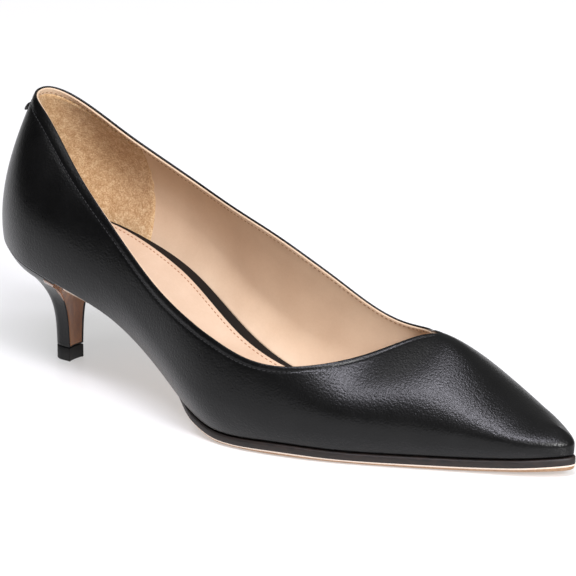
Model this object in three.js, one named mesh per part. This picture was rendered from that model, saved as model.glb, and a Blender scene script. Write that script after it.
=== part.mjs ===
// Kitten heel pump, right shoe, standing empty on its heel tip and forefoot.
// Millimetres. +X runs to the toe, +Y to the medial (inner) side, +Z up.
// The origin is the middle of the heel tip on the floor.
import * as THREE from 'three';
import { mergeVertices } from 'three/addons/utils/BufferGeometryUtils.js';

// Driving sizes
const lastLength = 250; // counter to toe tip, at the feather
const ballWidth = 66; // breadth of the feather across the ball
const heelRise = 44.1; // height of the seat above the forefoot
const instepHeight = 38; // feather to the crown of the vamp at the throat
const toeSwing = 14.9; // how far the toe tip lies to the medial side
const throatAt = 194; // counter to the point of the throat
const heelRound = 32; // length over which the seat closes to the counter
const toeRound = 18; // length over which the toe closes to its tip
const counterLean = 12.8; // how far the collar leans forward over the seat
const counterLeanHeight = 56; // height over which the counter leans
const counterPlumb = 3.1; // height of the plumb foot of the counter
const toeCurl = 10.2; // how far the top of the toe box falls back
const toeCurlHeight = 2.6; // height of the plumb foot of the toe box
const wall = 1.6; // leather and lining together
const marginWidth = 9; // lasting margin turned under
const marginThickness = 1.0; // skived leather of the margin
const clearance = 0.3; // gap between pieces that touch
const soleThickness = 4.4; // outsole at its tread
const treadFlat = 0.6; // height of the tread worn level to the floor
const soleEdge = 2.2; // upright edge of the outsole
const soleRound = 3.6; // rounding from the edge down to the tread
const soleWelt = 0.6; // how far the outsole stands out at the ball
const waistInset = 7; // how far the outsole is tucked in at the waist
const insoleThickness = 1.5;
const sockThickness = 0.9;
const sockInset = 7.5; // widest dark border between sock and lining
const sockLength = 206; // counter to the front end of the sock
const breastAt = 42; // counter to the heel breast, at the seat
const tipBreastAt = 28.1; // counter to the front of the heel tip
const tipLength = 8.4;
const tipWidth = 7.7;
const topPieceHeight = 5.2;
const breastHollow = 0.05; // hollow of the breast, a share of its width
const tabWidth = 6;
const tabHeight = 4.4;
const tabReach = 2.2;
const tabDrop = 6; // collar edge down to the top of the tab

const treadHeight = soleThickness + clearance;
const columnsBack = 36; // sections from the counter to the throat
const columnsFront = 14; // sections from the throat to the toe tip
const rows = 13; // rows up the wall

// One row per section of the last. at: share of the length. seat: share of the
// heel rise. lateral, medial: half breadths of the feather and swellL, swellM:
// swell of the wall beyond it, shares of the ball width. swellUp: height of
// the widest line and crown: height of the ridge, shares of the instep height.
// centre: share of the toe swing. peak: how far the crown is drawn to a ridge.
const sections = [
  { at: 0, seat: 1, lateral: 0.329, medial: 0.329, swellL: 0.026, swellM: 0.026,
    swellUp: 0.405, crown: 2.92, centre: 0, peak: 2.5 },
  { at: 0.07, seat: 0.943, lateral: 0.389, medial: 0.39, swellL: 0.035, swellM: 0.036,
    swellUp: 0.414, crown: 2.99, centre: -0.04, peak: 3.75 },
  { at: 0.16, seat: 0.832, lateral: 0.427, medial: 0.423, swellL: 0.05, swellM: 0.053,
    swellUp: 0.443, crown: 2.83, centre: -0.06, peak: 3.9 },
  { at: 0.27, seat: 0.626, lateral: 0.397, medial: 0.403, swellL: 0.07, swellM: 0.081,
    swellUp: 0.447, crown: 2.75, centre: -0.07, peak: 2.5 },
  { at: 0.39, seat: 0.279, lateral: 0.455, medial: 0.325, swellL: 0.081, swellM: 0.109,
    swellUp: 0.445, crown: 2.72, centre: -0.1, peak: 1.2 },
  { at: 0.5, seat: 0.022, lateral: 0.561, medial: 0.38, swellL: 0.077, swellM: 0.096,
    swellUp: 0.423, crown: 2.37, centre: -0.12, peak: 0.54 },
  { at: 0.6, seat: 0.012, lateral: 0.579, medial: 0.454, swellL: 0.068, swellM: 0.067,
    swellUp: 0.382, crown: 1.91, centre: 0.12, peak: 0.46 },
  { at: 0.7, seat: 0.004, lateral: 0.518, medial: 0.474, swellL: 0.057, swellM: 0.055,
    swellUp: 0.336, crown: 1.14, centre: 0.42, peak: 0.6 },
  { at: 0.79, seat: 0.01, lateral: 0.388, medial: 0.39, swellL: 0.047, swellM: 0.048,
    swellUp: 0.271, crown: 1.01, centre: 0.575, peak: 0.7 },
  { at: 0.89, seat: 0.026, lateral: 0.247, medial: 0.255, swellL: 0.038, swellM: 0.044,
    swellUp: 0.217, crown: 0.572, centre: 0.79, peak: 0.5 },
  { at: 1, seat: 0.072, lateral: 0.094, medial: 0.07, swellL: 0.029, swellM: 0.03,
    swellUp: 0.133, crown: 0.251, centre: 1, peak: 0.25 },
];

// The topline, from the counter to the throat. along: share of the way to the
// throat. lateral, medial: place up the wall, 1 at the widest line and 2 at the
// ridge.
const topline = [
  { along: 0, lateral: 1.275, medial: 1.275 },
  { along: 0.15, lateral: 1.229, medial: 1.217 },
  { along: 0.32, lateral: 1.163, medial: 1.165 },
  { along: 0.5, lateral: 1.132, medial: 1.224 },
  { along: 0.66, lateral: 1.183, medial: 1.261 },
  { along: 0.8, lateral: 1.198, medial: 1.174 },
  { along: 0.91, lateral: 1.493, medial: 1.441 },
  { along: 1, lateral: 2, medial: 2 },
];

// The outsole's outline against the feather. tuck: share of the waist inset.
// welt: share of the outsole's stand-out.
const soleOutline = [
  { at: 0.16, tuck: 0.75, welt: 0.0 },
  { at: 0.3, tuck: 1.0, welt: 0.0 },
  { at: 0.39, tuck: 0.45, welt: 0.0 },
  { at: 0.46, tuck: 0.0, welt: 0.3 },
  { at: 0.62, tuck: 0.0, welt: 1.0 },
  { at: 0.8, tuck: 0.0, welt: 1.0 },
  { at: 1.0, tuck: 0.0, welt: 1.0 },
];

// The edge of the outsole, from its top down. in: share of the rounding.
// down: share of the way from the upright edge to the tread.
const soleProfile = [
  { in: 0.0, down: 0.0 },
  { in: 0.12, down: 0.4 },
  { in: 0.45, down: 0.8 },
  { in: 1.0, down: 1.0 },
];

// The dark border left by the sock on the insole. border: share of its widest.
const sockBorder = [
  { at: 0.0, border: 0.18 },
  { at: 0.12, border: 0.4 },
  { at: 0.25, border: 0.9 },
  { at: 0.38, border: 0.95 },
  { at: 0.5, border: 0.55 },
  { at: 0.62, border: 0.25 },
  { at: 1.0, border: 0.2 },
];

// The heel, from the seat down. down: share of its height. breast, back, width:
// what is left of the way from the heel tip's section to the seat's. blend:
// share of the seat's outline that is left in the section's round.
const heelRows = [
  { down: 0, breast: 1, back: 1, width: 1, blend: 1 },
  { down: 0.06, breast: 0.85, back: 0.88, width: 0.93, blend: 0.96 },
  { down: 0.12, breast: 0.7, back: 0.765, width: 0.83, blend: 0.9 },
  { down: 0.18, breast: 0.56, back: 0.645, width: 0.69, blend: 0.8 },
  { down: 0.24, breast: 0.42, back: 0.53, width: 0.55, blend: 0.7 },
  { down: 0.3, breast: 0.29, back: 0.42, width: 0.42, blend: 0.58 },
  { down: 0.36, breast: 0.18, back: 0.32, width: 0.31, blend: 0.45 },
  { down: 0.43, breast: 0.09, back: 0.225, width: 0.205, blend: 0.3 },
  { down: 0.5, breast: 0.027, back: 0.145, width: 0.127, blend: 0.18 },
  { down: 0.58, breast: 0.005, back: 0.075, width: 0.078, blend: 0.08 },
  { down: 0.7, breast: 0, back: 0.022, width: 0.038, blend: 0 },
  { down: 0.84, breast: 0, back: 0.003, width: 0.015, blend: 0 },
  { down: 1, breast: 0, back: 0, width: 0, blend: 0 },
];

const clamp = (x, lo, hi) => Math.min(Math.max(x, lo), hi);

// A natural cubic spline through the points.
function spline(xs, ys) {
  const n = xs.length;
  const second = new Array(n).fill(0);
  const work = new Array(n).fill(0);
  for (let i = 1; i < n - 1; i++) {
    const share = (xs[i] - xs[i - 1]) / (xs[i + 1] - xs[i - 1]);
    const p = share * second[i - 1] + 2;
    second[i] = (share - 1) / p;
    const after = (ys[i + 1] - ys[i]) / (xs[i + 1] - xs[i]);
    const before = (ys[i] - ys[i - 1]) / (xs[i] - xs[i - 1]);
    work[i] = ((6 * (after - before)) / (xs[i + 1] - xs[i - 1]) - share * work[i - 1]) / p;
  }
  for (let i = n - 2; i >= 0; i--) second[i] = second[i] * second[i + 1] + work[i];
  return (x) => {
    let i = 0;
    while (i < n - 2 && x > xs[i + 1]) i++;
    const h = xs[i + 1] - xs[i];
    const a = (xs[i + 1] - x) / h;
    const b = (x - xs[i]) / h;
    const bend = (a * a * a - a) * second[i] + (b * b * b - b) * second[i + 1];
    return a * ys[i] + b * ys[i + 1] + (bend * h * h) / 6;
  };
}

// A spline through one named column of a table.
function column(table, key, unit = 1, by = 'at') {
  return spline(table.map((row) => row[by]), table.map((row) => row[key] * unit));
}

// Straight steps between the rows, for a column that must not overshoot.
function steps(table, key, unit = 1, by = 'at') {
  return (x) => {
    let i = 0;
    while (i < table.length - 2 && x > table[i + 1][by]) i++;
    const a = table[i];
    const b = table[i + 1];
    const u = clamp((x - a[by]) / (b[by] - a[by]), 0, 1);
    const soft = u * u * (3 - 2 * u);
    return (a[key] + (b[key] - a[key]) * soft) * unit;
  };
}

const seatShare = column(sections, 'seat');
const halfLateral = column(sections, 'lateral', ballWidth);
const halfMedial = column(sections, 'medial', ballWidth);
const swellLateral = column(sections, 'swellL', ballWidth);
const swellMedial = column(sections, 'swellM', ballWidth);
const swellUp = column(sections, 'swellUp', instepHeight);
const crownHeight = column(sections, 'crown', instepHeight);
const centreLine = column(sections, 'centre', toeSwing);
const crownPeak = column(sections, 'peak');
const toplineLateral = column(topline, 'lateral', 1, 'along');
const toplineMedial = column(topline, 'medial', 1, 'along');

const throatShare = throatAt / lastLength;
const heelShare = heelRound / lastLength;
const toeShare = toeRound / lastLength;

// Height of the feather above the floor, at a distance from the counter. The
// forefoot is level, and the soft step keeps the arch from dipping below it.
function seatHeightAt(x) {
  const share = seatShare(clamp(x / lastLength, 0, 1));
  const level = (share + Math.hypot(share, 0.008)) / 2;
  return treadHeight + heelRise * level;
}

// How far the outline is still open near the counter and the toe tip.
function closing(t) {
  const a = clamp(1 - t / heelShare, 0, 1);
  const b = clamp(1 - (1 - t) / toeShare, 0, 1);
  return (1 - a ** 2.2) ** (1 / 2.2) * (1 - b ** 2.1) ** (1 / 2.1);
}

const halfAt = (t, side) => (side < 0 ? halfLateral(t) : halfMedial(t));
const swellAt = (t, side) => (side < 0 ? swellLateral(t) : swellMedial(t));

function leanBack(h) {
  const u = clamp((h - counterPlumb) / (counterLeanHeight - counterPlumb), 0, 3);
  return counterLean * u ** 1.7;
}

function curlFront(h, top) {
  const u = (h - toeCurlHeight) / (top - toeCurlHeight);
  const soft = clamp((u - 0.15) / 1.2, 0, 1);
  return 0.9 * toeCurl * soft * soft * (3 - 2 * soft);
}

// The outer face of the upper. t: share of the length, v: 0 at the feather, 1
// at the widest line, 2 at the ridge. side: -1 lateral, 1 medial.
function lastPoint(t, v, side) {
  const foot = swellUp(t);
  const crown = crownHeight(t);
  const low = clamp(v, 0, 1);
  const turn = (clamp(v - 1, 0, 1) * Math.PI) / 2;
  const half = halfAt(t, side);
  const swell = swellAt(t, side);
  const peak = crownPeak(t);
  const c = Math.cos(turn);
  let y = half + swell * (1 - (1 - low) ** 2);
  let h = foot * low;
  if (v > 1) {
    y = (half + swell) * ((1 - peak) * c + peak * c * c * c);
    h = foot + (crown - foot) * Math.sin(turn);
  }
  const nearBack = clamp(1 - t / 0.35, 0, 1) ** 2;
  const nearToe = clamp(1 - (1 - t) / 0.14, 0, 1) ** 2;
  const x = t * lastLength + leanBack(h) * nearBack
    - curlFront(h, crownHeight(1) + 1) * nearToe;
  return [x, centreLine(t) + side * y * closing(t), seatHeightAt(t * lastLength) + h];
}

function toplineAt(t, side) {
  if (t >= throatShare) return 2;
  const place = t / throatShare;
  return Math.min(side < 0 ? toplineLateral(place) : toplineMedial(place), 2);
}

// Sections from the counter to the toe tip, closer together at both ends and
// round the throat.
const stations = [];
for (let i = 0; i <= columnsBack; i++) {
  const u = i / columnsBack;
  stations.push(throatShare * u * u * (3 - 2 * u));
}
for (let i = 1; i <= columnsFront; i++) {
  const u = i / columnsFront;
  stations.push(throatShare + (1 - throatShare) * (1 - (1 - u) ** 1.8));
}
const toeIndex = stations.length - 1;
const throatIndex = columnsBack;

// The way round the shoe: down the lateral side to the toe, back up the medial.
const loop = [];
for (let i = 0; i <= toeIndex; i++) loop.push({ i, side: -1 });
for (let i = toeIndex - 1; i > 0; i--) loop.push({ i, side: 1 });

// Collects triangles by their corners and makes one closed geometry of them.
class Shell {
  constructor() {
    this.points = [];
  }
  face(a, b, c) {
    this.points.push(...a, ...b, ...c);
  }
  quad(a, b, c, d) {
    this.face(a, b, c);
    this.face(a, c, d);
  }
  // Joins two rings of equal count. closed: the last joins the first.
  band(lower, upper, closed = true) {
    const n = closed ? lower.length : lower.length - 1;
    for (let i = 0; i < n; i++) {
      const j = (i + 1) % lower.length;
      this.quad(lower[i], lower[j], upper[j], upper[i]);
    }
  }
  // Fills a ring across, from its lateral half to its medial half.
  cap(ring, up, blunt = false) {
    const n = ring.length;
    const last = blunt ? n / 2 - 0.5 : n / 2;
    for (let i = 0; i < Math.floor(last); i++) {
      const a = ring[i];
      const b = ring[i + 1];
      const c = ring[(blunt ? n - 2 - i : n - 1 - i) % n];
      const d = ring[(blunt ? n - 1 - i : n - i) % n];
      if (up) this.quad(a, b, c, d);
      else this.quad(d, c, b, a);
    }
  }
  geometry() {
    const soup = new THREE.BufferGeometry();
    soup.setAttribute('position', new THREE.Float32BufferAttribute(this.points, 3));
    const merged = mergeVertices(soup, 1e-3);
    const index = merged.index.array;
    const kept = [];
    for (let i = 0; i < index.length; i += 3) {
      const [a, b, c] = [index[i], index[i + 1], index[i + 2]];
      if (a !== b && b !== c && a !== c) kept.push(a, b, c);
    }
    merged.setIndex(kept);
    const position = merged.attributes.position;
    const [p, q, r] = [new THREE.Vector3(), new THREE.Vector3(), new THREE.Vector3()];
    let volume = 0;
    for (let i = 0; i < kept.length; i += 3) {
      p.fromBufferAttribute(position, kept[i]);
      q.fromBufferAttribute(position, kept[i + 1]);
      r.fromBufferAttribute(position, kept[i + 2]);
      volume += p.dot(q.cross(r));
    }
    if (volume < 0) {
      for (let i = 0; i < kept.length; i += 3) {
        [kept[i + 1], kept[i + 2]] = [kept[i + 2], kept[i + 1]];
      }
      merged.setIndex(kept);
    }
    merged.computeVertexNormals();
    return merged;
  }
}

// A grid of points up the wall, from height low above the feather to the
// topline, as one ring per row.
function wallRings(low) {
  const rings = [];
  for (let j = 0; j <= rows; j++) {
    rings.push(loop.map(({ i, side }) => {
      const t = stations[i];
      const start = low / swellUp(t);
      const v = start + (toplineAt(t, side) - start) * (j / rows);
      return lastPoint(t, v, side);
    }));
  }
  return rings;
}

// Moves the rings inward by a depth, square to their surface. The sides share
// one normal where they meet at the ridge, the counter and the toe.
function offsetRings(rings, depth) {
  const key = (p) => p.map((c) => Math.round(c * 1000)).join();
  const sums = new Map();
  const [p, q, r] = [new THREE.Vector3(), new THREE.Vector3(), new THREE.Vector3()];
  const add = (corner, normal) => {
    const k = key(corner);
    if (!sums.has(k)) sums.set(k, new THREE.Vector3());
    sums.get(k).add(normal);
  };
  const facet = (a, b, c) => {
    p.fromArray(a);
    q.fromArray(b).sub(p);
    r.fromArray(c).sub(p);
    const normal = q.cross(r);
    if (normal.lengthSq() < 1e-9) return;
    [a, b, c].forEach((corner) => add(corner, normal));
  };
  for (let j = 0; j < rows; j++) {
    for (let k = 0; k < loop.length; k++) {
      const m = (k + 1) % loop.length;
      facet(rings[j][k], rings[j][m], rings[j + 1][m]);
      facet(rings[j][k], rings[j + 1][m], rings[j + 1][k]);
    }
  }
  return rings.map((ring) => ring.map((point) => {
    const normal = sums.get(key(point)).clone().normalize();
    return [0, 1, 2].map((c) => point[c] - depth * normal.getComponent(c));
  }));
}

// An outline of the last at a height above the feather, as plan points.
function outlineAt(height, from = 0, to = 1) {
  return loop.map(({ i, side }) => {
    const t = from + (to - from) * stations[i];
    const half = halfAt(t, side);
    const rise = 1 - (1 - clamp(height / swellUp(t), 0, 1)) ** 2;
    const open = from > 0 || to < 1 ? closing(t) * closing(stations[i]) : closing(t);
    const y = (half + swellAt(t, side) * rise) * open;
    return [t * lastLength, centreLine(t) + side * y];
  });
}

// Moves a closed plan outline inward (or outward where the depth is below 0).
function insetOutline(outline, depthAt) {
  const n = outline.length;
  return outline.map((point, k) => {
    const before = outline[(k + n - 1) % n];
    const after = outline[(k + 1) % n];
    const dx = after[0] - before[0];
    const dy = after[1] - before[1];
    const size = Math.hypot(dx, dy) || 1;
    const depth = depthAt(point[0] / lastLength);
    return [point[0] - (dy / size) * depth, point[1] + (dx / size) * depth];
  });
}

const onSeat = (outline, lift) => outline.map(([x, y]) => [x, y, seatHeightAt(x) + lift]);

// Upper: a hollow wall with its lasting margin turned under.
function makeUpper() {
  const shell = new Shell();
  const outer = wallRings(0);
  const inner = offsetRings(wallRings(marginThickness), wall);
  const floorLine = insetOutline(outlineAt(marginThickness), () => wall);
  inner[0] = onSeat(floorLine, marginThickness);
  const opening = outlineAt(0).map(([x, y], k) => {
    const t = x / lastLength;
    const inside = clamp(x, wall * 2, lastLength - wall * 2.5);
    const place = inside / lastLength;
    const side = loop[k].side;
    const full = halfAt(place, side) * closing(place);
    const left = Math.max(full - marginWidth, full * 0.35) * closing(t) ** 0.5;
    return [inside, centreLine(place) + side * left];
  });
  const under = onSeat(opening, 0);
  const above = onSeat(opening, marginThickness);
  for (let j = 0; j < rows; j++) {
    shell.band(outer[j], outer[j + 1]);
    shell.band(inner[j + 1], inner[j]);
  }
  shell.band(under, outer[0]);
  shell.band(above, under);
  shell.band(inner[0], above);
  const n = loop.length;
  const rimFrom = n - throatIndex;
  for (let s = 0; s < 2 * throatIndex; s++) {
    const k = (rimFrom + s) % n;
    const m = (k + 1) % n;
    shell.quad(outer[rows][k], outer[rows][m], inner[rows][m], inner[rows][k]);
  }
  return shell.geometry();
}

// A level-across plate that follows the seat, for the insole and the sock.
function makePlate(outline, lift, thickness) {
  const shell = new Shell();
  const bottom = onSeat(outline, lift);
  const top = onSeat(outline, lift + thickness);
  shell.band(bottom, top);
  shell.cap(top, true);
  shell.cap(bottom, false);
  return shell.geometry();
}

function makeInsole() {
  const outline = outlineAt(marginThickness + clearance);
  const inset = insetOutline(outline, () => wall + 1.5 * clearance);
  return makePlate(inset, marginThickness + clearance, insoleThickness);
}

function makeSock() {
  const border = steps(sockBorder, 'border', sockInset);
  const outline = outlineAt(0, 0, sockLength / lastLength);
  const inset = insetOutline(outline, (t) => wall + clearance + border(t));
  const lift = marginThickness + 2 * clearance + insoleThickness;
  return makePlate(inset, lift, sockThickness);
}

// Outsole: from the heel breast to the toe, with an upright edge, a rounded
// underside and a level tread.
function makeOutsole() {
  const shell = new Shell();
  const tuck = steps(soleOutline, 'tuck', waistInset);
  const welt = steps(soleOutline, 'welt', soleWelt);
  const from = (breastAt + clearance) / lastLength;
  const plan = [];
  const line = loop.filter(({ i }) => i > 0);
  const place = (i) => from + (1 - from) * stations[i];
  const start = { i: 0, side: -1 };
  const finish = { i: 0, side: 1 };
  [start, ...line, finish].forEach(({ i, side }) => {
    const t = place(i);
    plan.push([t * lastLength, centreLine(t) + side * halfAt(t, side) * closing(t)]);
  });
  const shift = (depthAt) => plan.map((point, k) => {
    const before = plan[Math.max(k - 1, 0)];
    const after = plan[Math.min(k + 1, plan.length - 1)];
    const blunt = k === 0 || k === plan.length - 1;
    const dx = after[0] - before[0];
    const dy = blunt ? 0 : after[1] - before[1];
    const size = Math.hypot(dx, dy);
    const depth = depthAt(point[0] / lastLength);
    return [point[0] - (dy / size) * depth, point[1] + (dx / size) * depth];
  });
  const edge = (t) => tuck(t) - welt(t);
  const rounding = Math.min(soleRound, ballWidth / 8);
  const underside = (x, down) => {
    const upright = seatHeightAt(x) - clearance - soleEdge;
    const tread = Math.max(0, seatHeightAt(x) - clearance - soleThickness - treadFlat);
    return upright + (tread - upright) * down;
  };
  const rings = [shift(edge).map(([x, y]) => [x, y, seatHeightAt(x) - clearance])];
  soleProfile.forEach((row) => {
    const outline = shift((t) => edge(t) + row.in * rounding * Math.min(1, (1.04 - t) / 0.12));
    rings.push(outline.map(([x, y]) => [x, y, underside(x, row.down)]));
  });
  for (let j = 0; j < rings.length - 1; j++) shell.band(rings[j + 1], rings[j]);
  shell.cap(rings[0], true, true);
  shell.cap(rings[rings.length - 1], false, true);
  return shell.geometry();
}

// A D of the heel: round behind, nearly flat at the breast.
const heelSteps = 12;
const breastSteps = 6;
function heelRing(row) {
  const tipBack = tipBreastAt - tipLength;
  const back = tipBack * (1 - row.back);
  const breast = tipBreastAt + (breastAt - tipBreastAt) * row.breast;
  const ring = [];
  const topWidth = (side) => halfAt(breastAt / lastLength, side) * closing(breastAt / lastLength);
  const tipHalf = tipWidth / 2;
  const widthAt = (side, s) => {
    const seatX = breastAt * s;
    const seat = (halfAt(seatX / lastLength, side) * closing(seatX / lastLength)) / topWidth(side);
    const round = Math.sqrt(1 - clamp(1 - s / 0.5, 0, 1) ** 2);
    const shape = round + (seat - round) * row.blend;
    return (tipHalf + (topWidth(side) - tipHalf) * row.width) * shape;
  };
  for (let k = heelSteps; k >= 0; k--) {
    const s = (k / heelSteps) ** 2;
    ring.push([back + (breast - back) * s, -widthAt(-1, s)]);
  }
  for (let k = 1; k <= heelSteps; k++) {
    const s = (k / heelSteps) ** 2;
    ring.push([back + (breast - back) * s, widthAt(1, s)]);
  }
  const left = widthAt(1, 1);
  const right = widthAt(-1, 1);
  for (let k = 1; k < breastSteps; k++) {
    const u = k / breastSteps;
    const bow = 4 * u * (1 - u) * breastHollow * (left + right);
    ring.push([breast - bow, left + (-right - left) * u]);
  }
  return ring;
}

// Fills a D across, breast to back.
function capHeel(shell, ring, up) {
  const n = ring.length;
  const centre = [0, 1, 2].map((c) => (ring[0][c] + ring[2 * heelSteps][c]) / 2);
  centre[0] = (ring[heelSteps][0] + 2 * centre[0]) / 3;
  centre[2] = (ring[heelSteps][2] + 2 * centre[2]) / 3;
  for (let k = 0; k < n; k++) {
    const m = (k + 1) % n;
    if (up) shell.face(ring[k], centre, ring[m]);
    else shell.face(ring[k], ring[m], centre);
  }
}

function makeHeel() {
  const shell = new Shell();
  const foot = topPieceHeight + clearance;
  const rings = heelRows.map((row) => heelRing(row).map(([x, y]) => {
    const top = seatHeightAt(x) - clearance;
    return [x, y, top + (foot - top) * row.down];
  }));
  for (let j = 0; j < rings.length - 1; j++) shell.band(rings[j], rings[j + 1]);
  const top = rings[0];
  for (let k = 0; k < heelSteps; k++) {
    const m = 2 * heelSteps - k;
    shell.quad(top[k], top[m], top[m - 1], top[k + 1]);
  }
  const fan = top.slice(2 * heelSteps);
  for (let k = 0; k < fan.length - 1; k++) shell.face(top[0], fan[k + 1], fan[k]);
  capHeel(shell, rings[rings.length - 1], false);
  return shell.geometry();
}

// Top piece: the rubber lift under the heel tip.
function makeTopPiece() {
  const shell = new Shell();
  const ring = heelRing(heelRows[heelRows.length - 1]);
  const top = ring.map(([x, y]) => [x, y, topPieceHeight]);
  const bottom = ring.map(([x, y]) => [x, y, 0]);
  shell.band(top, bottom);
  capHeel(shell, top, true);
  capHeel(shell, bottom, false);
  return shell.geometry();
}

// Back tab: a small plain folded tab on the back seam, under the collar.
function makeBackTab() {
  const vCollar = toplineAt(0, -1);
  const collar = lastPoint(0, vCollar, -1);
  const seamAt = (drop) => {
    let v = vCollar;
    while (v > 1 && collar[2] - lastPoint(0, v, -1)[2] < drop) v -= 0.001;
    return lastPoint(0, v, -1);
  };
  const high = seamAt(tabDrop);
  const low = seamAt(tabDrop + tabHeight);
  const down = new THREE.Vector3(low[0] - high[0], 0, low[2] - high[2]).normalize();
  const out = new THREE.Vector3(down.z, 0, -down.x);
  const at = (along, away, y) => [
    high[0] + down.x * along + out.x * away,
    y,
    high[2] + down.z * along + out.z * away,
  ];
  const section = [
    [0, 1.5 * clearance],
    [tabHeight * 0.35, tabReach * 0.7],
    [tabHeight * 0.75, tabReach],
    [tabHeight, tabReach * 0.85],
    [tabHeight * 0.75, 1.5 * clearance],
  ];
  const shell = new Shell();
  const left = section.map(([along, away]) => at(along, away, tabWidth / 2));
  const right = section.map(([along, away]) => at(along, away, -tabWidth / 2));
  shell.band(right, left);
  for (let k = 1; k < section.length - 1; k++) {
    shell.face(left[0], left[k], left[k + 1]);
    shell.face(right[0], right[k + 1], right[k]);
  }
  return shell.geometry();
}

const pump = new THREE.Group();

function addPiece(name, geometry, color, roughness) {
  const material = new THREE.MeshStandardMaterial({ color, roughness, metalness: 0 });
  const mesh = new THREE.Mesh(geometry, material);
  mesh.name = name;
  mesh.position.x = -(tipBreastAt - tipLength / 2);
  pump.add(mesh);
}

addPiece('upper', makeUpper(), '#1b1b1d', 0.35);
addPiece('outsole', makeOutsole(), '#241c18', 0.5);
addPiece('insole', makeInsole(), '#2a211d', 0.7);
addPiece('sock', makeSock(), '#d3ab90', 0.6);
addPiece('heel', makeHeel(), '#1e1e1f', 0.35);
addPiece('top_piece', makeTopPiece(), '#131313', 0.6);
addPiece('back_tab', makeBackTab(), '#1b1b1d', 0.45);

export default pump;
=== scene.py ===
# %% [markdown]
# # A black leather kitten heel pump
# A pump is leather pulled over a last, a wooden or plastic foot. Nearly every surface of the
# shoe is therefore the last's surface again, so this lesson writes the last down once as a
# short table and makes the skin, the lining, the sock and the sole from it.

# %% The frame from the CAD model
import math
import bmesh
import bpy
import numpy as np
from mathutils import Matrix, Vector


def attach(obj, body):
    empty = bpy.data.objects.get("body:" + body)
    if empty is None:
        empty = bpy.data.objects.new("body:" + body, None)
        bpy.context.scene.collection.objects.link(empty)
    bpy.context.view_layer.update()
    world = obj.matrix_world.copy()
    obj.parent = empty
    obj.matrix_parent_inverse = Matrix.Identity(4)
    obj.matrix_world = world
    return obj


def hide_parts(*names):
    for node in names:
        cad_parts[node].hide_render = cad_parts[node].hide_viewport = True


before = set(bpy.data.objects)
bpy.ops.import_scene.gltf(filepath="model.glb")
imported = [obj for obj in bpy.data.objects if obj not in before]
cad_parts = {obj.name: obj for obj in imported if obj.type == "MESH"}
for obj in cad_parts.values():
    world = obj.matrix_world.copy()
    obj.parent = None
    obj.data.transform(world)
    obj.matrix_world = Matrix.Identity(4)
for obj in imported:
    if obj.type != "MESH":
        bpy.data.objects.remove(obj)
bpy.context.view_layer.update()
print("CAD nodes:", ", ".join(sorted(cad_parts)))

# %% [markdown]
# Lengths are in millimetres, as a shoemaker's are, measured from the counter, the back of the
# heel. One function turns them to metres from the middle of the heel tip, where the frame
# has its origin.

# %% Sizes of the last
MM = 0.001
LAST_LENGTH = 250.0
BALL_WIDTH = 66.0
HEEL_RISE = 44.1
INSTEP_HEIGHT = 38.0
TOE_SWING = 14.9
THROAT_AT = 194.0
HEEL_ROUND = 32.0
TOE_ROUND = 18.0
COUNTER_LEAN = 12.8
COUNTER_LEAN_HEIGHT = 56.0
COUNTER_PLUMB = 3.1
COUNTER_REACH = 0.35
TOE_CURL = 10.2
TOE_CURL_HEIGHT = 2.6
TOE_REACH = 0.14
TOE_CURL_FROM = 0.15
TOE_CURL_OVER = 1.2
WALL = 1.6
MARGIN_WIDTH = 9.0
MARGIN_THICKNESS = 1.0
CLEARANCE = 0.3
SOLE_THICKNESS = 4.4
TREAD_HEIGHT = SOLE_THICKNESS + CLEARANCE
TREAD_FLAT = 0.6
SOLE_EDGE = 2.2
SOLE_ROUND = 3.6
SOLE_WELT = 0.6
WAIST_INSET = 7.0
INSOLE_THICKNESS = 1.5
SOCK_THICKNESS = 0.9
SOCK_INSET = 7.5
SOCK_LENGTH = 206.0
BREAST_AT = 42.0
TIP_BREAST_AT = 28.1
TIP_LENGTH = 8.4
TIP_WIDTH = 7.7
TOP_PIECE_HEIGHT = 5.2
BREAST_HOLLOW = 0.05
ORIGIN_AT = TIP_BREAST_AT - TIP_LENGTH / 2


def to_frame(points):
    """Turns last millimetres into metres of the frame."""
    return (np.asarray(points, float) - [ORIGIN_AT, 0.0, 0.0]) * MM


# %% [markdown]
# Each row of the table is one section across the last. Columns, in order: place along the
# length, height of the seat, half breadth on the lateral and medial side, swell of the wall
# beyond each, height of the widest line, height of the ridge, swing of the centre line, and
# how far the crown is drawn to a ridge. All but the place are shares of the sizes above.

# %% The last's sections
SECTION_COLUMNS = ("at", "seat", "lateral", "medial", "swell_l", "swell_m", "swell_up", "crown",
                   "centre", "peak")
SECTIONS = np.array([
    (0.00, 1.000, 0.329, 0.329, 0.026, 0.026, 0.405, 2.920, 0.000, 2.50),
    (0.07, 0.943, 0.389, 0.390, 0.035, 0.036, 0.414, 2.990, -0.040, 3.75),
    (0.16, 0.832, 0.427, 0.423, 0.050, 0.053, 0.443, 2.830, -0.060, 3.90),
    (0.27, 0.626, 0.397, 0.403, 0.070, 0.081, 0.447, 2.750, -0.070, 2.50),
    (0.39, 0.279, 0.455, 0.325, 0.081, 0.109, 0.445, 2.720, -0.100, 1.20),
    (0.50, 0.022, 0.561, 0.380, 0.077, 0.096, 0.423, 2.370, -0.120, 0.54),
    (0.60, 0.012, 0.579, 0.454, 0.068, 0.067, 0.382, 1.910, 0.120, 0.46),
    (0.70, 0.004, 0.518, 0.474, 0.057, 0.055, 0.336, 1.140, 0.420, 0.57),
    (0.79, 0.010, 0.388, 0.390, 0.047, 0.048, 0.271, 1.010, 0.575, 0.59),
    (0.89, 0.026, 0.247, 0.255, 0.038, 0.044, 0.217, 0.572, 0.790, 0.34),
    (1.00, 0.072, 0.094, 0.070, 0.029, 0.030, 0.133, 0.251, 1.000, 0.15),
])
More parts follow.
